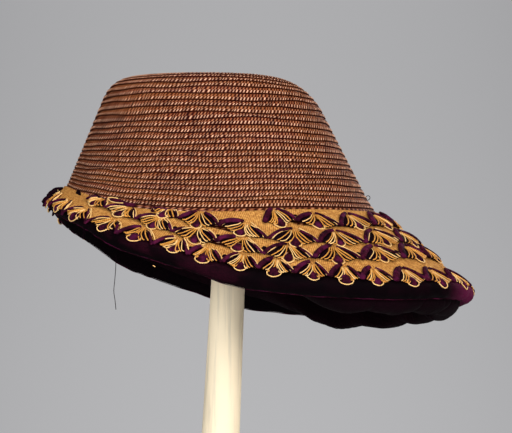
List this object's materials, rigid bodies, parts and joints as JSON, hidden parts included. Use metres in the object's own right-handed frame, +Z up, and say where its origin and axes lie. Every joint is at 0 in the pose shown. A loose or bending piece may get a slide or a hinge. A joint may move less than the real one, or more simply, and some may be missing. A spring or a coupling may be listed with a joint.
{
  "type": "bonnet on a stand",
  "caption": "Straw bonnet with a flat-topped crown, a drooping brim under tiers of looped braid, a puffed velvet facing, on a plain post stand.",
  "frame": {"origin": "centre of the underside of the stand's foot, on the surface it stands on", "axes": "+X to the front of the bonnet, where the brim is widest; +Y to the wearer's left; +Z up"},
  "size_m": [0.2853, 0.264, 0.4155],
  "materials": {
    "straw": "brown plaited straw, satin",
    "velvet": "dark plum silk velvet",
    "braid": "golden woven braid and cord",
    "stand_paint": "cream paint on turned wood, matte"
  },
  "bodies": {
    "root": {"stand_foot": "stand_paint", "stand_post": "stand_paint", "stand_knob": "stand_paint", "crown_plait": "straw", "brim_plait": "straw", "velvet_roll": "velvet", "velvet_facing": "velvet", "trim_tier_lowest": "braid", "trim_tier_second": "braid", "trim_tier_third": "braid", "trim_tier_top": "braid"}
  },
  "joints": []
}
